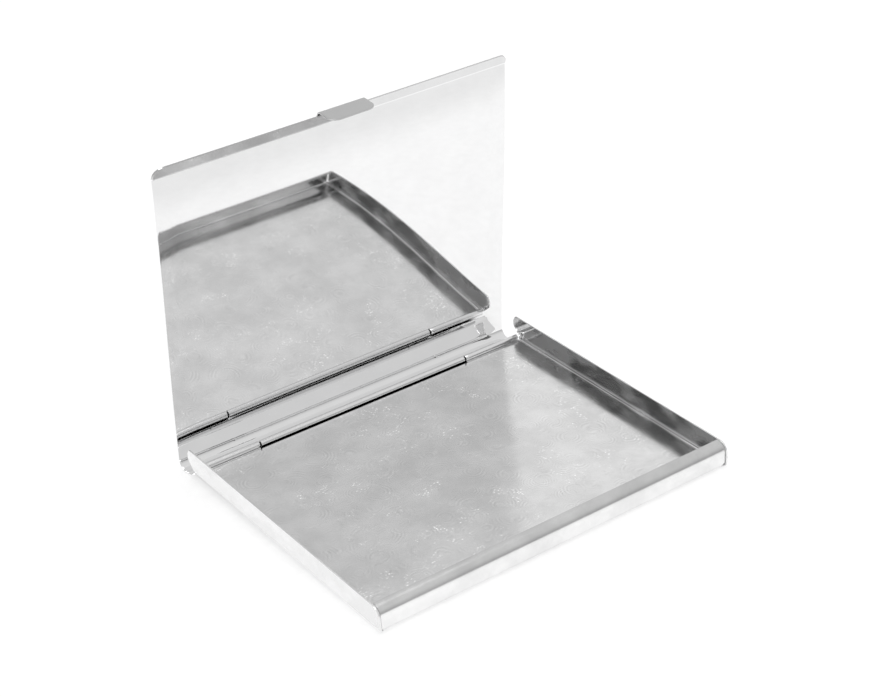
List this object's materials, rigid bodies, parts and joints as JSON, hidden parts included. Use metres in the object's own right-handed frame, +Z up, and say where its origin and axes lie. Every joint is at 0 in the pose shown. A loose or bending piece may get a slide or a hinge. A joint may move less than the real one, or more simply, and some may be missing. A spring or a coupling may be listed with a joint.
{
  "type": "hinged card case",
  "caption": "Slim bright-metal card case standing open: shallow tray with a rolled front lip, and a flat lid on a rear pin hinge with a catch clip.",
  "frame": {"origin": "middle of the tray's underside, half way between the front lip's face and the hinge axis", "axes": "+X along the hinge to the right, +Y behind the hinge away from the front lip, +Z up out of the tray"},
  "size_m": [0.095, 0.0845, 0.0804],
  "materials": {
    "bright_steel": "bright polished sheet with faint swirl marks",
    "satin_steel": "satin drawn tube and wire"
  },
  "bodies": {
    "tray": {"tray_pan": "bright_steel", "left_end_wall": "bright_steel", "right_end_wall": "bright_steel", "tray_knuckle_left": "satin_steel", "tray_knuckle_right": "satin_steel", "hinge_pin": "satin_steel"},
    "lid": {"lid_shell": "bright_steel", "lid_knuckle": "satin_steel", "catch_clip": "bright_steel"}
  },
  "joints": [
    {"name": "lid_hinge", "type": "hinge", "parent": "tray", "child": "lid", "pos_m": [0, 0.0382, 0.00088], "axis": [1, 0, 0], "range_deg": [-8, 86]}
  ]
}
